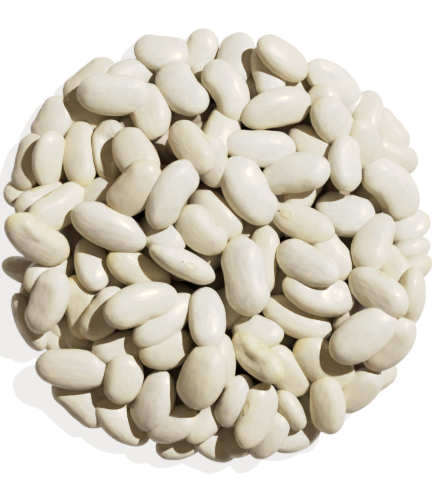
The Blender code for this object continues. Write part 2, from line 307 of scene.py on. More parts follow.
@dataclass
class Ground:
    """The height of what already lies there, on a square grid, and how a bean comes to rest on it."""

    step: float = 0.5 * MM
    half: float = 64 * MM
    reach: float = 12 * MM
    tip_angles: tuple[int, ...] = (-24, -16, -8, 0, 8, 16, 24)
    roll_angles: tuple[int, ...] = (-30, -20, -10, 0, 10, 20, 30)
    share_in_touch: float = 0.22
    press_depth: float = 0.4 * MM
    deepest_press: float = 3.5 * MM

    def __post_init__(self) -> None:
        """Lays out the empty grid."""
        self.axis = np.arange(-self.half, self.half + self.step / 2, self.step)
        self.height = np.zeros((len(self.axis), len(self.axis)))

    def window(self, bean: Bean) -> tuple[slice, slice]:
        """Finds the part of the grid round a bean.

        Args:
            bean: The bean.

        Returns:
            The part's columns and rows.
        """
        near_x = np.flatnonzero(np.abs(self.axis - bean.x) < self.reach)
        near_y = np.flatnonzero(np.abs(self.axis - bean.y) < self.reach)
        return slice(near_x[0], near_x[-1] + 1), slice(near_y[0], near_y[-1] + 1)

    def shells(self, bean: Bean, columns: slice, rows: slice) -> tuple[np.ndarray, np.ndarray, np.ndarray]:
        """Measures a bean over a part of the grid.

        Args:
            bean: The bean, tipped and rolled as it would lie.
            columns: The part's columns.
            rows: The part's rows.

        Returns:
            Heights of the bean's under side and top above its middle, and where on that part it lies.
        """
        east, north = np.meshgrid(self.axis[columns] - bean.x, self.axis[rows] - bean.y, indexing="ij")
        turn = math.radians(bean.turn)
        along = east * math.cos(turn) + north * math.sin(turn)
        across = -east * math.sin(turn) + north * math.cos(turn) - bean.bend(along)
        level = Bean(0, 0, 0, bean.length, bean.width, bean.thickness, tip=bean.tip, roll=bean.roll)
        turned = np.array(level.rotation())
        sizes = np.diag([4 / bean.length**2, 4 / bean.width**2, 4 / bean.thickness**2])
        form = turned @ sizes @ turned.T
        slope = form[0, 2] * along + form[1, 2] * across
        plan = form[0, 0] * along**2 + 2 * form[0, 1] * along * across + form[1, 1] * across**2
        room = slope**2 - form[2, 2] * (plan - 1)
        inside = room > 0
        depth = np.sqrt(np.where(inside, room, 0))
        return (-slope - depth) / form[2, 2], (-slope + depth) / form[2, 2], inside

    def let_down(self, bean: Bean) -> None:
        """Tips and rolls a bean to where it sinks lowest, rests it there, and adds it to the ground.

        Args:
            bean: The bean, whose height, tip and roll are set.
        """
        columns, rows = self.window(bean)
        here = self.height[columns, rows]
        lowest = None
        most_tip, most_roll = bean.lie.value
        for tip in (angle for angle in self.tip_angles if abs(angle) <= most_tip):
            for roll in (angle for angle in self.roll_angles if abs(angle) <= most_roll):
                bean.tip, bean.roll = tip, roll
                under, top, inside = self.shells(bean, columns, rows)
                touch = np.sort((here - under)[inside])
                soft = touch[int(len(touch) * (1 - self.share_in_touch))] - self.press_depth
                z = max(soft, touch[-1] - self.deepest_press, -under[inside].min())
                if lowest is None or z < lowest[0]:
                    lowest = (z, tip, roll, top, inside)
        bean.z, bean.tip, bean.roll, top, inside = lowest
        here[inside] = np.maximum(here, bean.z + top)[inside]

    def softened(self, spread: float) -> np.ndarray:
        """Blurs the heights, to say how high a point's surroundings stand.

        Args:
            spread: The distance over which they are blurred.

        Returns:
            The blurred heights, on the same grid.
        """
        reach = int(3 * spread / self.step)
        weights = np.exp(-0.5 * (np.arange(-reach, reach + 1) * self.step / spread) ** 2)
        weights /= weights.sum()
        blurred = self.height
        for axis in (0, 1):
            blurred = np.apply_along_axis(np.convolve, axis, blurred, weights, mode="same")
        return blurred

    def read(self, heights: np.ndarray, points: np.ndarray) -> np.ndarray:
        """Returns the value of a grid of heights at each point's x and y."""
        cells = np.clip(np.rint((points[:, :2] + self.half) / self.step).astype(int), 0, len(self.axis) - 1)
        return heights[cells[:, 0], cells[:, 1]]


@dataclass
class HeapPlan:
    """Which beans the heap has, and in which order they are let down."""

    first_rings: tuple[float, ...] = (0, 12 * MM, 23 * MM, 33.5 * MM)
    second_rings: tuple[float, ...] = (6 * MM, 16 * MM, 26 * MM)
    spacing: float = 14 * MM
    scatter: float = 1.2 * MM
    rim_radius: float = 30 * MM
    rim_turn_spread: float = 35
    seed: int = 11
    lengths: tuple[float, float] = (15.5 * MM, 18.5 * MM)
    width_share: float = 0.57
    thickness_share: float = 0.45
    thickness_to_width: float = 0.74
    on_side_width: float = 7.8 * MM
    on_side_height: float = 9.2 * MM
    ground: Ground = field(default_factory=Ground)

    def ring_beans(self, rings: tuple[float, ...], draw: np.random.Generator) -> list[Bean]:
        """Spreads beans evenly along rings. Those near the rim follow it.

        Args:
            rings: The radius of each ring.
            draw: The source of the random draws.

        Returns:
            The beans, each with a size and turn of its own.
        """
        beans = []
        for radius in rings:
            count = max(1, int(2 * math.pi * radius / self.spacing))
            start = draw.uniform(0, 2 * math.pi)
            for place in range(count):
                angle = start + 2 * math.pi * place / count
                out = radius + draw.uniform(-self.scatter, self.scatter)
                turn = draw.uniform(0, 360)
                if radius > self.rim_radius:
                    spread = draw.uniform(-self.rim_turn_spread, self.rim_turn_spread)
                    turn = math.degrees(angle) + 90 + spread
                length = draw.uniform(*self.lengths)
                width, thickness = length * self.width_share, length * self.thickness_share
                x, y = out * math.cos(angle), out * math.sin(angle)
                beans.append(Bean(x, y, turn, length, width, thickness))
        return beans

    def mark(self, marks: list[object], sort: type, default: object = None) -> object:
        """Returns the first of a bean's marks that is of a sort, or else the default."""
        return next((mark for mark in marks if isinstance(mark, sort)), default)

    def laid_beans(self) -> list[Bean]:
        """Reads the beans laid out in the list. One that shows little width lies on its edge or back.

        Returns:
            The beans, in the order in which they are let down.
        """
        beans = []
        for x, y, turn, length, width, *marks in LAID_BEANS:
            on_side = width * MM < self.on_side_width
            thickness = self.on_side_height if on_side else width * MM * self.thickness_to_width
            kind = self.mark(marks, Kind, Kind.ON_EDGE if on_side else None)
            way = self.mark(marks, Way)
            tint = self.mark(marks, Tint)
            scar = self.mark(marks, float)
            lie = Lie.ON_BACK if kind is Kind.ON_BACK else self.mark(marks, Lie, Lie.FREE)
            place = (x * MM, y * MM, turn)
            beans.append(Bean(*place, length * MM, width * MM, thickness, kind, way, tint, scar, lie))
        return beans

    def tucked_beans(self) -> list[Bean]:
        """Reads the beans deep in the gaps, which lie flat where they are put.

        Returns:
            The beans, each in its place.
        """
        beans = []
        for x, y, turn, length, width, height in TUCKED_BEANS:
            thickness = width * MM * self.thickness_to_width
            beans.append(Bean(x * MM, y * MM, turn, length * MM, width * MM, thickness, z=height * MM))
        return beans

    def rested_beans(self) -> list[Bean]:
        """Lets the beans down one after the other, and adds those tucked in.

        Returns:
            Every bean of the heap, at rest and of a kind.
        """
        draw = np.random.default_rng(self.seed)
        beans = self.ring_beans(self.first_rings, draw)
        beans += self.ring_beans(self.second_rings, draw)
        beans += self.laid_beans()
        for bean in beans:
            self.ground.let_down(bean)
        beans += self.tucked_beans()
        for number, bean in enumerate(beans):
            bean.kind = bean.kind or COMMON_KINDS[number % len(COMMON_KINDS)]
        return beans


def only(piece: bpy.types.Object) -> None:
    """Selects one object alone and makes it active.

    Args:
        piece: The object.
    """
    bpy.ops.object.select_all(action="DESELECT")
    piece.select_set(True)
    bpy.context.view_layer.objects.active = piece


def apply_all(piece: bpy.types.Object) -> None:
    """Applies every modifier of an object, in order.

    Args:
        piece: The object.
    """
    only(piece)
    for modifier in list(piece.modifiers):
        bpy.ops.object.modifier_apply(modifier=modifier.name)


def select_none(piece: bpy.types.Object, sort: str) -> None:
    """Leaves nothing selected on a piece, ready to select some of it in code.

    Args:
        piece: The piece, in object mode before and after.
        sort: What is selected next: VERT, EDGE or FACE.
    """
    only(piece)
    bpy.ops.object.mode_set(mode="EDIT")
    bpy.ops.mesh.select_mode(type=sort)
    bpy.ops.mesh.select_all(action="DESELECT")
    bpy.ops.object.mode_set(mode="OBJECT")


def points_of(piece: bpy.types.Object) -> np.ndarray:
    """Reads the points of a piece.

    Args:
        piece: The piece.

    Returns:
        Its points, one row each.
    """
    flat = np.empty(3 * len(piece.data.vertices))
    piece.data.vertices.foreach_get("co", flat)
    return flat.reshape(-1, 3)


def note(piece: bpy.types.Object, name: str, sort: str, values: np.ndarray) -> None:
    """Notes a number or a vector at each point of a piece, for its material to read."""
    layer = piece.data.attributes.new(name, sort, "POINT")
    layer.data.foreach_set("vector" if sort == "FLOAT_VECTOR" else "value", values)


@dataclass(frozen=True)
class Pull:
    """A stretch of skin that is drawn in or out. Its place is in shares of the bean's half sizes."""

    along: tuple[float, float]
    across: tuple[float, float]
    up: tuple[float, float]
    move: tuple[float, float, float]
    reach: float

    def chosen(self, place: np.ndarray) -> np.ndarray:
        """Returns which of the points lie in the stretch."""
        spans = np.array((self.along, self.across, self.up))
        return np.all((place >= spans[:, 0]) & (place <= spans[:, 1]), axis=1)


HOLLOW_SIDE = Pull((-0.3, 0.3), (0.8, 1.1), (-1.1, 1.1), (0, -0.5 * MM, 0), 4.6 * MM)
FLAT_SIDE = Pull((-0.3, 0.3), (0.8, 1.1), (-1.1, 1.1), (0, -0.2 * MM, 0), 5.0 * MM)
HILUM_WAIST = Pull((-0.12, 0.12), (0.8, 1.1), (-1.1, 1.1), (0, -0.5 * MM, 0), 3.4 * MM)
BACK_WAIST = Pull((-0.15, 0.15), (-1.1, -0.9), (-1.1, 1.1), (0, 0.8 * MM, 0), 4.5 * MM)
FACE_DIMPLE = Pull((-0.3, 0.3), (0.0, 0.4), (0.6, 1.1), (0, 0, -0.4 * MM), 3.6 * MM)
LOW_CREST = Pull((-0.8, -0.1), (0.55, 0.85), (0.2, 1.1), (0, 0.1 * MM, 0.45 * MM), 2.0 * MM)
HILUM_CREST = Pull((-0.75, 0.1), (0.5, 0.8), (0.2, 1.1), (0, 0, 0.5 * MM), 2.4 * MM)
CREST_HOLLOW = Pull((-0.5, 0.3), (-0.1, 0.2), (0.5, 1.1), (0, 0, -0.3 * MM), 2.6 * MM)
HILUM_NOTCH = Pull((-0.2, -0.05), (0.7, 1.1), (-0.2, 0.7), (0, -0.5 * MM, 0), 1.6 * MM)
PINCH_HOLLOW = Pull((-0.25, 0.2), (-0.7, 0.0), (0.4, 1.1), (0, 0, -2.6 * MM), 3.4 * MM)
PINCH_WAIST = Pull((-0.2, 0.15), (-1.1, -0.8), (-1.1, 1.1), (0, 1.8 * MM, 0), 3.6 * MM)
PINCH_STRAP = Pull((-0.5, 0.5), (0.6, 0.85), (0.3, 1.1), (0, 0, 0.5 * MM), 1.6 * MM)
PINCH_FOLD = Pull((-0.85, -0.45), (-0.1, 0.05), (0.3, 1.1), (0, 0, -0.8 * MM), 1.5 * MM)
PINCHES = (PINCH_HOLLOW, PINCH_WAIST, PINCH_STRAP, PINCH_FOLD)
SHRIVELS = (HOLLOW_SIDE, CREST_HOLLOW, HILUM_CREST, HILUM_NOTCH)


@dataclass
class BeanMould:
    """The shape of one kind of bean, modelled at a real bean's size and then brought to unit size."""

    kind: Kind
    length: float = 17.5 * MM
    width: float = 10 * MM
    thickness: float = 7.3 * MM
    blunt: float = 0.09
    flat: float = 0.22
    softness: int = 8
    bend: float = 18
    taper: float = 0.07
    roll: float = 0
    pulls: tuple[Pull, ...] = (HOLLOW_SIDE,)
    unevenness: float = 0.55 * MM
    lump: float = 8 * MM
    segments: int = 40
    rings: int = 28

    HALF_UNIT = 0.5

    def start(self) -> bpy.types.Object:
        """Adds the blunt egg that the bean is shaped from, with its poles along X.

        Returns:
            The egg, at the bean's size.
        """
        bpy.ops.object.select_all(action="DESELECT")
        bpy.ops.mesh.primitive_uv_sphere_add(
            segments=self.segments, ring_count=self.rings, radius=self.HALF_UNIT, rotation=(0, math.pi / 2, 0)
        )
        mould = bpy.context.active_object
        mould.name = mould.data.name = f"mould_{self.kind.value}"
        bpy.ops.object.transform_apply(location=False, rotation=True, scale=False)
        for name, factor, only_height in (("blunt_ends", self.blunt, False), ("flat_sides", self.flat, True)):
            cast = mould.modifiers.new(name, "CAST")
            cast.cast_type = "CUBOID"
            cast.factor = factor
            cast.use_radius_as_size = False
            cast.size = self.HALF_UNIT
            cast.use_x = cast.use_y = not only_height
        soft = mould.modifiers.new("soft_shoulders", "SMOOTH")
        soft.factor = 0.5
        soft.iterations = self.softness
        apply_all(mould)
        bpy.ops.object.mode_set(mode="EDIT")
        bpy.ops.mesh.select_all(action="SELECT")
        bpy.ops.transform.resize(value=(self.length, self.width, self.thickness))
        bpy.ops.object.mode_set(mode="OBJECT")
        return mould

    def shape(self, mould: bpy.types.Object) -> None:
        """Draws the skin in or out where the kind has its waist, dimples, crest or pinch.

        Args:
            mould: The mould, at the bean's size.
        """
        place = points_of(mould) / (self.length / 2, self.width / 2, self.thickness / 2)
        for pull in self.pulls:
            select_none(mould, "VERT")
            mould.data.vertices.foreach_set("select", pull.chosen(place))
            bpy.ops.object.mode_set(mode="EDIT")
            bpy.ops.transform.translate(
                value=pull.move,
                use_proportional_edit=True,
                proportional_edit_falloff="SMOOTH",
                proportional_size=pull.reach,
            )
            bpy.ops.object.mode_set(mode="OBJECT")

    def deform(self, mould: bpy.types.Object) -> None:
        """Makes one end smaller, curves the bean like a kidney, and roughs up its sides a little.

        Args:
            mould: The mould, at the bean's size.
        """
        taper = mould.modifiers.new("smaller_end", "SIMPLE_DEFORM")
        taper.deform_method = "TAPER"
        taper.deform_axis = "X"
        taper.factor = self.taper
        curve = mould.modifiers.new("kidney_curve", "SIMPLE_DEFORM")
        curve.deform_method = "BEND"
        curve.deform_axis = "Z"
        curve.angle = math.radians(self.bend)
        lumps = bpy.data.textures.new(f"lumps_{self.kind.value}", "CLOUDS")
        lumps.noise_scale = self.lump
        lumps.noise_depth = 1
        uneven = mould.modifiers.new("uneven_sides", "DISPLACE")
        uneven.texture = lumps
        uneven.texture_coords = "LOCAL"
        uneven.strength = self.unevenness
        apply_all(mould)

    def settle(self, mould: bpy.types.Object) -> None:
        """Brings the bean to unit size, notes each point's spot on it, and rolls it if it lies so.

        Args:
            mould: The mould, shaped.
        """
        self.unit(mould)
        note(mould, "bean_spot", "FLOAT_VECTOR", (points_of(mould) / self.HALF_UNIT).ravel())
        if self.roll:
            true_size = Matrix.Diagonal((self.length, self.width, self.thickness, 1))
            mould.data.transform(Matrix.Rotation(math.radians(self.roll), 4, "X") @ true_size)
            self.unit(mould)

    def unit(self, mould: bpy.types.Object) -> None:
        """Moves the mould's middle to the origin and makes it one unit long, wide and thick.

        Args:
            mould: The mould, of any size.
        """
        spots = points_of(mould)
        middle = (spots.max(axis=0) + spots.min(axis=0)) / 2
        sizes = spots.max(axis=0) - spots.min(axis=0)
        mould.data.transform(Matrix.Diagonal((*(1 / sizes), 1)) @ Matrix.Translation(-Vector(middle)))

    def build(self) -> bpy.types.Object:
        """Makes the mould.

        Returns:
            The finished mould, smooth all over.
        """
        mould = self.start()
        self.shape(mould)
        self.deform(mould)
        self.settle(mould)
        only(mould)
        bpy.ops.object.shade_smooth()
        return mould


@dataclass(frozen=True)
class NodeSheet:
    """Makes nodes and links in one node tree."""

    tree: bpy.types.NodeTree

    def node(self, kind: str, **values: object) -> bpy.types.Node:
        """Adds a node and sets its properties.

        Args:
            kind: The node's type name, without ShaderNode.
            values: Properties by name.

        Returns:
            The new node.
        """
        made = self.tree.nodes.new(f"ShaderNode{kind}")
        for name, value in values.items():
            setattr(made, name, value)
        return made

    def feed(self, socket: bpy.types.NodeSocket, value: object) -> None:
        """Links an output to a socket, or sets the socket's own value.

        Args:
            socket: The socket that is fed.
            value: An output to link, or a value to set.
        """
        if isinstance(value, bpy.types.NodeSocket):
            self.tree.links.new(value, socket)
        else:
            socket.default_value = value

    def maths(self, operation: str, first: object, second: object = 0.0, clamp: bool = False) -> object:
        """Adds a Math node.

        Args:
            operation: What it does.
            first: Its first value or output.
            second: Its second one.
            clamp: Whether its result stays between 0 and 1.

        Returns:
            Its result.
        """
        made = self.node("Math", operation=operation, use_clamp=clamp)
        self.feed(made.inputs[0], first)
        self.feed(made.inputs[1], second)
        return made.outputs[0]

    def span(
        self, value: object, low: float, high: float, to_low: float = 0.0, to_high: float = 1.0
    ) -> object:
        """Carries a value smoothly from one span to another, and holds it at the ends.

        Args:
            value: The value or output.
            low: Where the first span starts.
            high: Where the first span ends.
            to_low: Where the second span starts.
            to_high: Where the second span ends.

        Returns:
            The value carried over.
        """
        made = self.node("MapRange", interpolation_type="SMOOTHSTEP")
        for socket, given in zip(made.inputs, (value, low, high, to_low, to_high)):
            self.feed(socket, given)
        return made.outputs[0]

    def mix(self, share: object, first: object, second: object) -> object:
        """Mixes two colours.

        Args:
            share: The second colour's share.
            first: The first colour or output.
            second: The second one.

        Returns:
            The mixed colour.
        """
        made = self.node("Mix", data_type="RGBA")
        self.feed(made.inputs["Factor"], share)
        self.feed(made.inputs[6], first)
        self.feed(made.inputs[7], second)
        return made.outputs[2]

    def noise(self, where: object, scale: object, detail: float = 2.0, roughness: float = 0.5) -> object:
        """Adds a noise.

        Args:
            where: The place that it is read at.
            scale: How fine it is.
            detail: How many finer layers it has.
            roughness: How strong those are.

        Returns:
            The noise, between 0 and 1.
        """
        made = self.node("TexNoise")
        self.feed(made.inputs["Vector"], where)
        self.feed(made.inputs["Scale"], scale)
        self.feed(made.inputs["Detail"], detail)
        self.feed(made.inputs["Roughness"], roughness)
        return made.outputs["Fac"]


def new_group(name: str, takes: dict[str, str], gives: dict[str, str]) -> tuple[NodeSheet, object, object]:
    """Starts a shader node group.

    Args:
        name: The group's name.
        takes: Its inputs, from name to socket type without NodeSocket.
        gives: Its outputs, in the same form.

    Returns:
        A node sheet for the group, and its input and output nodes.
    """
    group = bpy.data.node_groups.new(name, "ShaderNodeTree")
    for label, kind in takes.items():
        group.interface.new_socket(name=label, in_out="INPUT", socket_type=f"NodeSocket{kind}")
    for label, kind in gives.items():
        group.interface.new_socket(name=label, in_out="OUTPUT", socket_type=f"NodeSocket{kind}")
    source = group.nodes.new("NodeGroupInput")
    result = group.nodes.new("NodeGroupOutput")
    return NodeSheet(group), source, result


def new_material(name: str) -> tuple[bpy.types.Material, NodeSheet, bpy.types.Node]:
    """Starts a material.

    Args:
        name: The material's name.

    Returns:
        The material, a node sheet for it, and its Principled shader.
    """
    material = bpy.data.materials.new(name)
    material.use_nodes = True
    return material, NodeSheet(material.node_tree), material.node_tree.nodes["Principled BSDF"]


class SkinEffects:
    """The effects that the beans' skins and the core share, each a node group built once.

    The scar's sizes and its dot's place are in shares of half the bean's own sizes.
    """

    DENTS_TO_PATCHES = 2.6
    PATCH_SPAN = (0.35, 0.68)
    FRONT_SPAN = (0.35, 0.6)
    SIDE_SPAN = (0.3, 0.95)
    END_SPAN = (0.72, 1.0)
    RING_FADE = (1.4, 0.9)
    EYE_FADE = (0.9, 0.4)
    DOT_FADE = (1.0, 0.4)
    SCAR_HALF_LENGTH = 0.17
    SCAR_HALF_HEIGHT = 0.24
    DOT_PLACE = -0.25
    DOT_HALF_LENGTH = 0.05
    DOT_HEIGHTS_TO_SCAR = 2.4
    FOLD_STRETCH = (0.7, 1.9, 1.6)
    FOLD_SCALE = 1.5
    FOLD_WIDTH = 0.14

    def __init__(self) -> None:
        """Builds the groups."""
        self.mottle = self.build_mottle()
        self.hilum = self.build_hilum()
        self.wrinkle = self.build_wrinkle()

    def build_mottle(self) -> bpy.types.NodeTree:
        """Builds a group of soft patches, dents and fine grain.

        Returns:
            The group, which takes a place and two scales.
        """
        takes = {"Place": "Vector", "Patch Scale": "Float", "Grain Scale": "Float"}
        gives = {"Patches": "Float", "Dents": "Float", "Grain": "Float"}
        sheet, source, result = new_group("soft_mottle", takes, gives)
        place = source.outputs["Place"]
        patches = sheet.noise(place, source.outputs["Patch Scale"], detail=3.0, roughness=0.55)
        grain = sheet.noise(place, source.outputs["Grain Scale"], detail=2.0, roughness=0.6)
        sheet.feed(result.inputs["Patches"], sheet.span(patches, *self.PATCH_SPAN))
        finer = sheet.maths("MULTIPLY", source.outputs["Patch Scale"], self.DENTS_TO_PATCHES)
        dents = sheet.noise(place, finer, detail=1.0)
        sheet.feed(result.inputs["Dents"], dents)
        sheet.feed(result.inputs["Grain"], grain)
        return sheet.tree

    def build_hilum(self) -> bpy.types.NodeTree:
        """Builds a group that masks the scar where a bean hung in its pod, and the stains round a bean.

        Returns:
            The group, which takes a spot on the bean and how far along its scar is.
        """
        gives = {"Ring": "Float", "Eye": "Float", "Dot": "Float", "Side": "Float", "Ends": "Float"}
        sheet, source, result = new_group("hilum_scar", {"Spot": "Vector", "Shift": "Float"}, gives)
        parts = sheet.node("SeparateXYZ")
        sheet.feed(parts.inputs[0], source.outputs["Spot"])
        along, side, up = parts.outputs
        front = sheet.span(side, *self.FRONT_SPAN)
        across = sheet.maths("MULTIPLY", up, 1 / self.SCAR_HALF_HEIGHT)
        shifted = sheet.maths("SUBTRACT", along, source.outputs["Shift"])
        for label, middle, reach, fade in (
            ("Ring", 0.0, self.SCAR_HALF_LENGTH, self.RING_FADE),
            ("Eye", 0.0, self.SCAR_HALF_LENGTH, self.EYE_FADE),
            ("Dot", self.DOT_PLACE, self.DOT_HALF_LENGTH, self.DOT_FADE),
        ):
            offset = sheet.maths("MULTIPLY", sheet.maths("SUBTRACT", shifted, middle), 1 / reach)
            tall = sheet.maths("MULTIPLY", across, self.DOT_HEIGHTS_TO_SCAR if label == "Dot" else 1.0)
            squares = sheet.maths("MULTIPLY", offset, offset)
            squares = sheet.maths("ADD", squares, sheet.maths("MULTIPLY", tall, tall))
            mask = sheet.span(sheet.maths("SQRT", squares), *fade)
            sheet.feed(result.inputs[label], sheet.maths("MULTIPLY", mask, front))
        sheet.feed(result.inputs["Side"], sheet.span(side, *self.SIDE_SPAN))
        ends = sheet.span(sheet.maths("ABSOLUTE", along), *self.END_SPAN)
        sheet.feed(result.inputs["Ends"], ends)
        return sheet.tree

    def build_wrinkle(self) -> bpy.types.NodeTree:
        """Builds a group of soft folds that run along a bean.

        Returns:
            The group, which takes a spot on the bean and a seed.
        """
        takes = {"Spot": "Vector", "Seed": "Float"}
        sheet, source, result = new_group("skin_wrinkles", takes, {"Folds": "Float"})
        stretched = sheet.node("VectorMath", operation="MULTIPLY")
        sheet.feed(stretched.inputs[0], source.outputs["Spot"])
        stretched.inputs[1].default_value = self.FOLD_STRETCH
        moved = sheet.node("VectorMath", operation="ADD")
        sheet.feed(moved.inputs[0], stretched.outputs[0])
        sheet.feed(moved.inputs[1], source.outputs["Seed"])
        folds = sheet.noise(moved.outputs[0], self.FOLD_SCALE, detail=1.0, roughness=0.4)
        ridges = sheet.maths("ABSOLUTE", sheet.maths("SUBTRACT", folds, 0.5))
        sheet.feed(result.inputs["Folds"], sheet.span(ridges, 0.0, self.FOLD_WIDTH))
        return sheet.tree


@dataclass(frozen=True)
class BeanSkin:
    """The skin of one kind of bean: pale and satin, with patches, a scar and, on some, folds.

    Deep among the other beans its colour is mixed towards a painted brown shade.
    """

    name: str
    pale: Colour = srgb(230, 225, 209)
    warm: Colour = srgb(221, 211, 191)
    cool_patch: Colour = srgb(205, 202, 194)
    yellow: Colour = srgb(220, 207, 168)
    # Painted shade: the brown the skin is mixed towards where it lies deep among the other beans.
    painted_shade_colour: Colour = srgb(114, 86, 58)
    scar: Colour = srgb(196, 178, 122)
    scar_dot: Colour = srgb(104, 76, 42)
    roughness: tuple[float, float] = (0.4, 0.56)
    patchiness: float = 0.55
    smudges: float = 0.42
    yellowness: float = 0.3
    side_stain: float = 0.16
    folds: float = 0.0
    fold_height: float = 0.3
    grain_height: float = 0.05
    dent_height: float = 0.22
    patch_scale: float = 1.5
    grain_scale: float = 24.0
    subsurface: float = 0.2
    subsurface_depth: float = 1.2 * MM
    subsurface_spread: tuple[float, float, float] = (1.0, 0.62, 0.36)
    coat: float = 0.08
    coat_roughness: float = 0.28
    sheen: float = 0.12
    sheen_tint: Colour = srgb(236, 205, 160)
    sheen_roughness: float = 0.35
    seed_reach: float = 90.0
    fold_seed_reach: float = 30.0
    fold_stain: float = 0.35
    smudge_span: tuple[float, float] = (0.45, 0.75)
    wear_span: tuple[float, float] = (0.35, 0.65)
    scar_wear: tuple[float, float] = (0.25, 0.8)
    eye_share: float = 0.4
    dot_share: float = 0.85
    scar_height: float = 0.12
    bump_strength: float = 0.6

    def build(self, effects: SkinEffects) -> bpy.types.Material:
        """Makes the material.

        Args:
            effects: The shared node groups.

        Returns:
            The material, ready to put on a piece.
        """
        material, sheet, shader = new_material(self.name)
        spot = sheet.node("Attribute", attribute_name="bean_spot").outputs["Vector"]
        tone = sheet.node("Attribute", attribute_name="bean_tone").outputs["Vector"]
        seed = sheet.node("Attribute", attribute_name="bean_seed").outputs["Fac"]
        # The share of painted shade at each point.
        depth = sheet.node("Attribute", attribute_name="bean_painted_shade").outputs["Fac"]
        tones = sheet.node("SeparateXYZ")
        sheet.feed(tones.inputs[0], tone)
        warmth, yellowness, stain = tones.outputs
        place = sheet.node("VectorMath", operation="ADD")
        sheet.feed(place.inputs[0], spot)
        sheet.feed(place.inputs[1], sheet.maths("MULTIPLY", seed, self.seed_reach))

        mottle = sheet.node("Group", node_tree=effects.mottle)
        sheet.feed(mottle.inputs["Place"], place.outputs[0])
        mottle.inputs["Patch Scale"].default_value = self.patch_scale
        mottle.inputs["Grain Scale"].default_value = self.grain_scale
        hilum = sheet.node("Group", node_tree=effects.hilum)
        sheet.feed(hilum.inputs["Spot"], spot)
        sheet.feed(hilum.inputs["Shift"], sheet.node("Attribute", attribute_name="bean_scar").outputs["Fac"])

        colour = sheet.mix(warmth, self.pale, self.warm)
        patches = sheet.maths("MULTIPLY", mottle.outputs["Patches"], self.patchiness)
        smudges = sheet.span(mottle.outputs["Dents"], *self.smudge_span, 0.0, self.smudges)
        colour = sheet.mix(sheet.maths("ADD", patches, smudges, clamp=True), colour, self.cool_patch)
        stained = sheet.maths("MULTIPLY", hilum.outputs["Side"], self.side_stain)
        stained = sheet.maths("ADD", stained, sheet.maths("MULTIPLY", hilum.outputs["Ends"], stain))
        yellowed = sheet.maths("MULTIPLY", yellowness, self.yellowness)
        stained = sheet.maths("ADD", stained, yellowed, clamp=True)
        colour = sheet.mix(stained, colour, self.yellow)
        worn = sheet.span(mottle.outputs["Dents"], *self.wear_span, *self.scar_wear)
        colour = sheet.mix(sheet.maths("MULTIPLY", hilum.outputs["Ring"], worn), colour, self.scar)
        colour = sheet.mix(sheet.maths("MULTIPLY", hilum.outputs["Eye"], self.eye_share), colour, self.pale)
        dot = sheet.maths("MULTIPLY", hilum.outputs["Dot"], self.dot_share)
        colour = sheet.mix(dot, colour, self.scar_dot)

        height = sheet.maths("MULTIPLY", mottle.outputs["Grain"], self.grain_height)
        dents = sheet.maths("MULTIPLY", mottle.outputs["Dents"], self.dent_height)
        height = sheet.maths("ADD", height, dents)
        rim = sheet.maths("SUBTRACT", hilum.outputs["Ring"], hilum.outputs["Eye"])
        height = sheet.maths("ADD", height, sheet.maths("MULTIPLY", rim, self.scar_height))
        if self.folds:
            wrinkle = sheet.node("Group", node_tree=effects.wrinkle)
            sheet.feed(wrinkle.inputs["Spot"], spot)
            sheet.feed(wrinkle.inputs["Seed"], sheet.maths("MULTIPLY", seed, self.fold_seed_reach))
            valley = sheet.maths("SUBTRACT", 1.0, wrinkle.outputs["Folds"])
            valley = sheet.maths("MULTIPLY", valley, self.folds)
            colour = sheet.mix(sheet.maths("MULTIPLY", valley, self.fold_stain), colour, self.scar)
            folded = sheet.maths("MULTIPLY", wrinkle.outputs["Folds"], self.folds * self.fold_height)
            height = sheet.maths("ADD", height, folded)
        # Mixes the colour towards the painted shade, by each point's share.
        sheet.feed(shader.inputs["Base Color"], sheet.mix(depth, colour, self.painted_shade_colour))
        sheet.feed(shader.inputs["Roughness"], sheet.span(mottle.outputs["Patches"], 0, 1, *self.roughness))
        bump = sheet.node("Bump")
        bump.inputs["Distance"].default_value = MM
        bump.inputs["Strength"].default_value = self.bump_strength
        sheet.feed(bump.inputs["Height"], height)
        sheet.feed(shader.inputs["Normal"], bump.outputs[0])
        for label, value in (
            ("Subsurface Weight", self.subsurface),
            ("Subsurface Radius", self.subsurface_spread),
            ("Subsurface Scale", self.subsurface_depth),
            ("Coat Weight", self.coat),
            ("Coat Roughness", self.coat_roughness),
            ("Sheen Weight", self.sheen),
            ("Sheen Roughness", self.sheen_roughness),
            ("Sheen Tint", self.sheen_tint),
        ):
            shader.inputs[label].default_value = value
        return material


@dataclass(frozen=True)
class ShadowFinish:
    """A dull dark brown, painted shadow for the depth between the beans."""

    name: str = "painted_shadow_between_beans"
    # Painted shadow: the dark browns of the depth between the beans.
    deep: Colour = srgb(66, 45, 28)
    lighter: Colour = srgb(92, 66, 42)
    roughness: tuple[float, float] = (0.8, 0.95)
    patch_scale: float = 220.0
    grain_scale: float = 1500.0

    def build(self, effects: SkinEffects) -> bpy.types.Material:
        """Makes the material.

        Args:
            effects: The shared node groups.

        Returns:
            The material, ready to put on the core.
        """
        material, sheet, shader = new_material(self.name)
        mottle = sheet.node("Group", node_tree=effects.mottle)
        sheet.feed(mottle.inputs["Place"], sheet.node("TexCoord").outputs["Object"])
        mottle.inputs["Patch Scale"].default_value = self.patch_scale
        mottle.inputs["Grain Scale"].default_value = self.grain_scale
        colour = sheet.mix(mottle.outputs["Patches"], self.deep, self.lighter)
        sheet.feed(shader.inputs["Base Color"], colour)
        sheet.feed(shader.inputs["Roughness"], sheet.span(mottle.outputs["Grain"], 0, 1, *self.roughness))
        return material


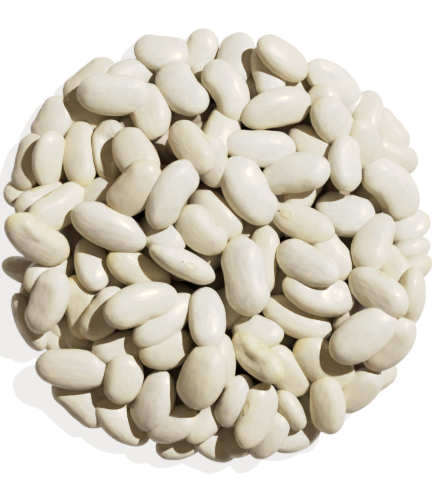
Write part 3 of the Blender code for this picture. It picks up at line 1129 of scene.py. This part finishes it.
@dataclass
class BeanHeap:
    """All the beans, one piece for each kind."""

    plan: HeapPlan
    effects: SkinEffects
    seed: int = 5
    scar_scatter: float = 0.2
    # These set the painted shade: the blur of the heap's heights, the depths where it starts and is full, its
    # most, and where it fades out at the rim.
    shade_spread: float = 3.5 * MM
    shade_from: float = 1.0 * MM
    shade_to: float = 9 * MM
    deepest_shade: float = 0.85
    rim_radius: float = 54 * MM
    rim_width: float = 11 * MM

    def moulds(self) -> list[BeanMould]:
        """Lists the moulds.

        Returns:
            The mould of every kind, in the order in which the pieces are built.
        """
        return [
            BeanMould(Kind.PLUMP, bend=26, pulls=(HOLLOW_SIDE, FACE_DIMPLE)),
            BeanMould(Kind.BROAD, width=10.8 * MM, blunt=0.12, bend=14, taper=0.05, pulls=(FLAT_SIDE,)),
            BeanMould(Kind.TAPERED, width=9.6 * MM, blunt=0.05, bend=26, taper=0.17),
            BeanMould(Kind.EGG, blunt=0.07, bend=0, taper=0.07, pulls=(), unevenness=0.35 * MM),
            BeanMould(Kind.HOOKED, bend=36, taper=0.12, pulls=(HOLLOW_SIDE, HILUM_WAIST)),
            BeanMould(Kind.WAISTED, bend=8, taper=0.1, pulls=(HILUM_WAIST, BACK_WAIST), lump=6 * MM),
            BeanMould(Kind.NOTCHED, bend=22, taper=0.1, pulls=(HOLLOW_SIDE, HILUM_NOTCH)),
            BeanMould(Kind.ON_EDGE, bend=36, flat=0.1, roll=-40),
            BeanMould(Kind.ON_SHOULDER, bend=26, roll=42),
            BeanMould(Kind.ON_BACK, bend=18, flat=0.1, roll=84),
            BeanMould(Kind.PINCHED, bend=16, pulls=PINCHES, segments=56, rings=44),
            BeanMould(
                Kind.CRESTED, bend=36, taper=0.05, pulls=(HOLLOW_SIDE, LOW_CREST), segments=48, rings=36
            ),
            BeanMould(
                Kind.SHRIVELLED,
                bend=60,
                pulls=SHRIVELS,
                unevenness=0.7 * MM,
                lump=5 * MM,
                segments=48,
                rings=36,
            ),
        ]

    def skin(self, kind: Kind) -> BeanSkin:
        """Chooses the finish of a kind.

        Args:
            kind: The kind.

        Returns:
            Its finish, which for most is the plain one.
        """
        grey = srgb(186, 179, 162)
        special = {
            Kind.CRESTED: {"yellowness": 0.08, "side_stain": 0.7, "patchiness": 0.9},
            Kind.SHRIVELLED: {
                "cool_patch": grey,
                "yellowness": 0.05,
                "side_stain": 0.8,
                "patchiness": 0.9,
                "folds": 0.12,
            },
            Kind.PINCHED: {"side_stain": 0.4, "folds": 0.35},
        }
        return BeanSkin(f"skin_{kind.name.lower()}", **special.get(kind, {}))

    def shade(self, points: np.ndarray, around: np.ndarray) -> np.ndarray:
        """Says how much painted shade each point gets: how much of the sky the neighbours hide from it, which
        near the rim is less.

        Args:
            points: The points, one row each.
            around: The blurred height of the heap, on the ground's grid.

        Returns:
            A share for each point, 0 where it lies open.
        """
        depth = self.plan.ground.read(around, points) - points[:, 2]
        share = np.clip((depth - self.shade_from) / (self.shade_to - self.shade_from), 0, 1)
        out = np.hypot(points[:, 0], points[:, 1])
        hemmed_in = np.clip((self.rim_radius - out) / self.rim_width, 0, 1)
        return self.deepest_shade * share * share * (3 - 2 * share) * hemmed_in

    def place(
        self, mould: bpy.types.Object, bean: Bean, draw: np.random.Generator, around: np.ndarray
    ) -> bpy.types.Object:
        """Puts one copy of a mould where a bean lies, with its own tone and painted shade.

        Args:
            mould: The mould of the bean's kind.
            bean: The bean at rest.
            draw: The source of the random draws.
            around: The blurred height of the heap.

        Returns:
            The copy, with its own mesh.
        """
        copy = mould.copy()
        copy.data = mould.data.copy()
        bpy.context.scene.collection.objects.link(copy)
        end_for_end = draw.random() < 0.5
        if bean.way or bean.kind in SCAR_DOWN_KINDS:
            end_for_end = bean.way is Way.BEHIND
        swap = Matrix.Rotation(math.pi if end_for_end else 0, 4, "Y")
        copy.data.transform(bean.placing() @ swap)
        spots = points_of(copy)
        under_floor = min(0.0, float(spots[:, 2].min()))
        if under_floor < 0:
            copy.data.transform(Matrix.Translation((0, 0, -under_floor)))
        drawn = (draw.random(), draw.random() ** 2, draw.random() ** 2)
        tone = bean.tint.value if bean.tint else drawn
        seed = draw.random()
        scar = draw.uniform(-self.scar_scatter, self.scar_scatter) if bean.scar is None else bean.scar
        note(copy, "bean_seed", "FLOAT", np.full(len(spots), seed))
        note(copy, "bean_scar", "FLOAT", np.full(len(spots), scar))
        note(copy, "bean_tone", "FLOAT_VECTOR", np.tile(tone, len(spots)))
        # Painted shade: the share of brown the skin mixes in at each point.
        note(copy, "bean_painted_shade", "FLOAT", self.shade(spots, around))
        return copy

    def join(self, copies: list[bpy.types.Object], name: str) -> bpy.types.Object:
        """Makes the copies of a mould one piece.

        Args:
            copies: The copies, one or more.
            name: The piece's name.

        Returns:
            The piece.
        """
        only(copies[0])
        for copy in copies:
            copy.select_set(True)
        if len(copies) > 1:
            bpy.ops.object.join()
        piece = bpy.context.view_layer.objects.active
        piece.name = piece.data.name = name
        return piece

    def build(self) -> list[bpy.types.Object]:
        """Builds a piece for every kind of bean.

        Returns:
            The finished pieces.
        """
        beans = self.plan.rested_beans()
        around = self.plan.ground.softened(self.shade_spread)
        draw = np.random.default_rng(self.seed)
        pieces = []
        for mould_maker in self.moulds():
            kind = mould_maker.kind
            mould = mould_maker.build()
            copies = [self.place(mould, bean, draw, around) for bean in beans if bean.kind is kind]
            bpy.data.objects.remove(mould)
            piece = self.join(copies, kind.value)
            piece.data.materials.append(self.skin(kind).build(self.effects))
            pieces.append(piece)
        return pieces


@dataclass
class HeapCore:
    """The dark core, coloured as painted shadow, that shows only as depth between the beans."""

    effects: SkinEffects
    radius: float = 36 * MM
    height: float = 4 * MM
    shoulder: float = 3 * MM
    shoulder_steps: int = 5
    sides: int = 48
    smooth_below: float = 40

    def build(self) -> bpy.types.Object:
        """Builds the core.

        Returns:
            A low drum with a well-rounded top edge.
        """
        bpy.ops.object.select_all(action="DESELECT")
        bpy.ops.mesh.primitive_cylinder_add(
            vertices=self.sides, radius=self.radius, depth=self.height, location=(0, 0, self.height / 2)
        )
        core = bpy.context.active_object
        core.name = core.data.name = "heap_core"
        bpy.ops.object.transform_apply()
        select_none(core, "FACE")
        for face in core.data.polygons:
            face.select = face.center.z > self.height - MM
        bpy.ops.object.mode_set(mode="EDIT")
        bpy.ops.mesh.bevel(offset=self.shoulder, segments=self.shoulder_steps, affect="EDGES")
        bpy.ops.object.mode_set(mode="OBJECT")
        bpy.ops.object.shade_smooth_by_angle(angle=math.radians(self.smooth_below))
        core.data.materials.append(ShadowFinish().build(self.effects))
        return core


@dataclass
class LightTable:
    """The plain pale floor, lit a little from below, so that the heap's shadow on it stays faint."""

    size: float = 2.4
    colour: Colour = (0.32, 0.32, 0.32, 1.0)
    glow_colour: Colour = (1.0, 0.99, 0.975, 1.0)
    glow: float = 1.0
    roughness: float = 0.85

    def build(self) -> bpy.types.Object:
        """Builds the floor.

        Returns:
            The floor, marked as stage.
        """
        bpy.ops.object.select_all(action="DESELECT")
        bpy.ops.mesh.primitive_plane_add(size=self.size)
        floor = bpy.context.active_object
        floor.name = floor.data.name = "pale_floor"
        material, _, shader = new_material("pale_floor")
        shader.inputs["Base Color"].default_value = self.colour
        shader.inputs["Roughness"].default_value = self.roughness
        shader.inputs["Emission Color"].default_value = self.glow_colour
        shader.inputs["Emission Strength"].default_value = self.glow
        floor.data.materials.append(material)
        floor.visible_diffuse = False
        return floor


@dataclass
class StudioLight:
    """One key light from the upper right of the picture, and a soft sky.

    The key shines the same from any place: only its azimuth and elevation, in degrees, count.
    """

    place: tuple[float, float, float] = (0.5, 0.4, 0.8)
    azimuth: float = 38
    elevation: float = 49
    key_strength: float = 3.95
    key_angle: float = 1.3
    key_colour: tuple[float, float, float] = (1.0, 0.99, 0.97)
    sky_colour: Colour = (1.0, 0.75, 0.49, 1.0)
    sky_strength: float = 0.165

    def build(self) -> None:
        """Adds the key light and the sky."""
        bpy.ops.object.light_add(type="SUN", location=self.place)
        key = bpy.context.active_object
        key.name = key.data.name = "key_light"
        key.rotation_euler = (0, math.radians(90 - self.elevation), math.radians(self.azimuth))
        key.data.energy = self.key_strength
        key.data.angle = math.radians(self.key_angle)
        key.data.color = self.key_colour
        world = bpy.data.worlds.new("soft_sky")
        bpy.context.scene.world = world
        world.use_nodes = True
        sky = world.node_tree.nodes["Background"]
        sky.inputs["Color"].default_value = self.sky_colour
        sky.inputs["Strength"].default_value = self.sky_strength


@dataclass
class OverheadCamera:
    """The camera, which looks straight down with +Y at the top of the picture."""

    photo_width: int = 435
    photo_height: int = 495
    pixel: float = 0.24 * MM
    middle: tuple[float, float] = (-0.12 * MM, -0.12 * MM)
    level: float = 14 * MM
    distance: float = 1.3
    sensor: float = 36.0
    nearest: float = 0.05

    def build(self) -> bpy.types.Object:
        """Sets up the scene's camera.

        Returns:
            The camera, framed as the photograph is.
        """
        bpy.ops.object.camera_add(location=(*self.middle, self.level + self.distance), rotation=(0, 0, 0))
        camera = bpy.context.active_object
        camera.name = camera.data.name = "overhead_camera"
        camera.data.sensor_width = self.sensor
        longer_side = max(self.photo_width, self.photo_height) * self.pixel
        camera.data.lens = self.sensor * self.distance / longer_side
        camera.data.clip_start = self.nearest
        bpy.context.scene.camera = camera
        return camera


@dataclass(frozen=True)
class PhotoTone:
    """The tone curve of the photograph: firm shadows, and lit skins that all come out nearly alike."""

    white: float = 1.3
    steps: tuple[tuple[float, float], ...] = (
        (0.00, 0.00),
        (0.08, 0.075),
        (0.30, 0.37),
        (0.50, 0.60),
        (0.70, 0.725),
        (0.90, 0.79),
        (1.10, 0.875),
        (1.30, 1.00),
    )

    def apply(self) -> None:
        """Sets the view's curve."""
        view = bpy.context.scene.view_settings
        view.view_transform = "Standard"
        view.look = "None"
        view.use_curve_mapping = True
        mapping = view.curve_mapping
        mapping.white_level = (self.white, self.white, self.white)
        points = mapping.curves[3].points
        for number, (given, shown) in enumerate(self.steps):
            place = (given / self.white, shown)
            if number == 0:
                points[0].location = place
            elif number == len(self.steps) - 1:
                points[len(points) - 1].location = place
            else:
                points.new(*place)
        mapping.update()


def main() -> None:
    """Builds the heap, its floor, light and camera, and logs how many points each piece has."""
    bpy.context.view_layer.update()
    effects = SkinEffects()
    pieces = BeanHeap(HeapPlan(), effects).build()
    core = HeapCore(effects).build()
    for piece in [*pieces, core]:
        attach(piece, "root")
        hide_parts("bean_heap")
        LOG.info("%s: %d points", piece.name, len(piece.data.vertices))
    LightTable().build()
    StudioLight().build()
    OverheadCamera().build()
    PhotoTone().apply()


if __name__ == "__main__":
    logging.basicConfig(level=logging.INFO, format="%(name)s %(message)s")
    main()
